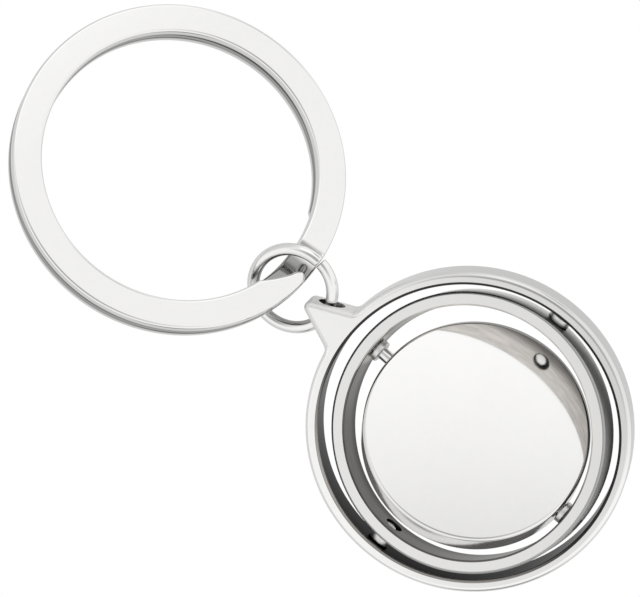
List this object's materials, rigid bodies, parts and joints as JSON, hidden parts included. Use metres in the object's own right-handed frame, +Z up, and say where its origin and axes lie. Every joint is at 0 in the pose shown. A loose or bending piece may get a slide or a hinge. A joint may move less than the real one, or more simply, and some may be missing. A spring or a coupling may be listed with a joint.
{
  "type": "gimbal keychain",
  "caption": "Polished metal keychain: a flat split ring and a jump ring carry a lugged ring, in which a second ring and a thick blank disc spin on crossed pins.",
  "frame": {"origin": "the hang point: inside the split ring, at the top of its bore, in the middle of its thickness", "axes": "+Z up along the hanging chain; the split ring lies in the XZ plane and its front face looks along -Y"},
  "size_m": [0.032, 0.0209, 0.0682],
  "materials": {
    "split_ring": "bright nickel plate over steel strip",
    "jump_ring": "bright nickel plate over steel wire",
    "outer_ring": "polished and plated",
    "middle_ring": "polished and plated",
    "disc": "mirror polished and plated",
    "pins": "bright drawn steel",
    "collars": "bright turned steel"
  },
  "bodies": {
    "key_ring": {"split_ring": "split_ring"},
    "link": {"jump_ring": "jump_ring"},
    "outer_gimbal": {"outer_ring": "outer_ring", "outer_pin_left": "pins", "outer_pin_right": "pins", "outer_collar_left": "collars", "outer_collar_right": "collars"},
    "middle_gimbal": {"middle_ring": "middle_ring", "inner_pin_top": "pins", "inner_pin_bottom": "pins", "inner_collar_top": "collars", "inner_collar_bottom": "collars"},
    "medallion": {"disc": "disc"}
  },
  "joints": [
    {"name": "jump_ring_slides_round", "type": "hinge", "parent": "key_ring", "child": "link", "pos_m": [0, 0, -0.01318], "axis": [0, 1, 0], "continuous": true},
    {"name": "lug_swings", "type": "hinge", "parent": "link", "child": "outer_gimbal", "pos_m": [-0.00096, -0.00015, -0.03254], "axis": [0.8071, -0.5864, 0.068], "range_deg": [-90, 90]},
    {"name": "middle_ring_spins", "type": "hinge", "parent": "outer_gimbal", "child": "middle_gimbal", "pos_m": [0.00001, -0.00086, -0.05019], "axis": [0.8071, -0.5864, 0.068], "continuous": true},
    {"name": "disc_spins", "type": "hinge", "parent": "middle_gimbal", "child": "medallion", "pos_m": [-0.00001, -0.00096, -0.05071], "axis": [0.052, 0.1854, 0.9813], "continuous": true}
  ]
}
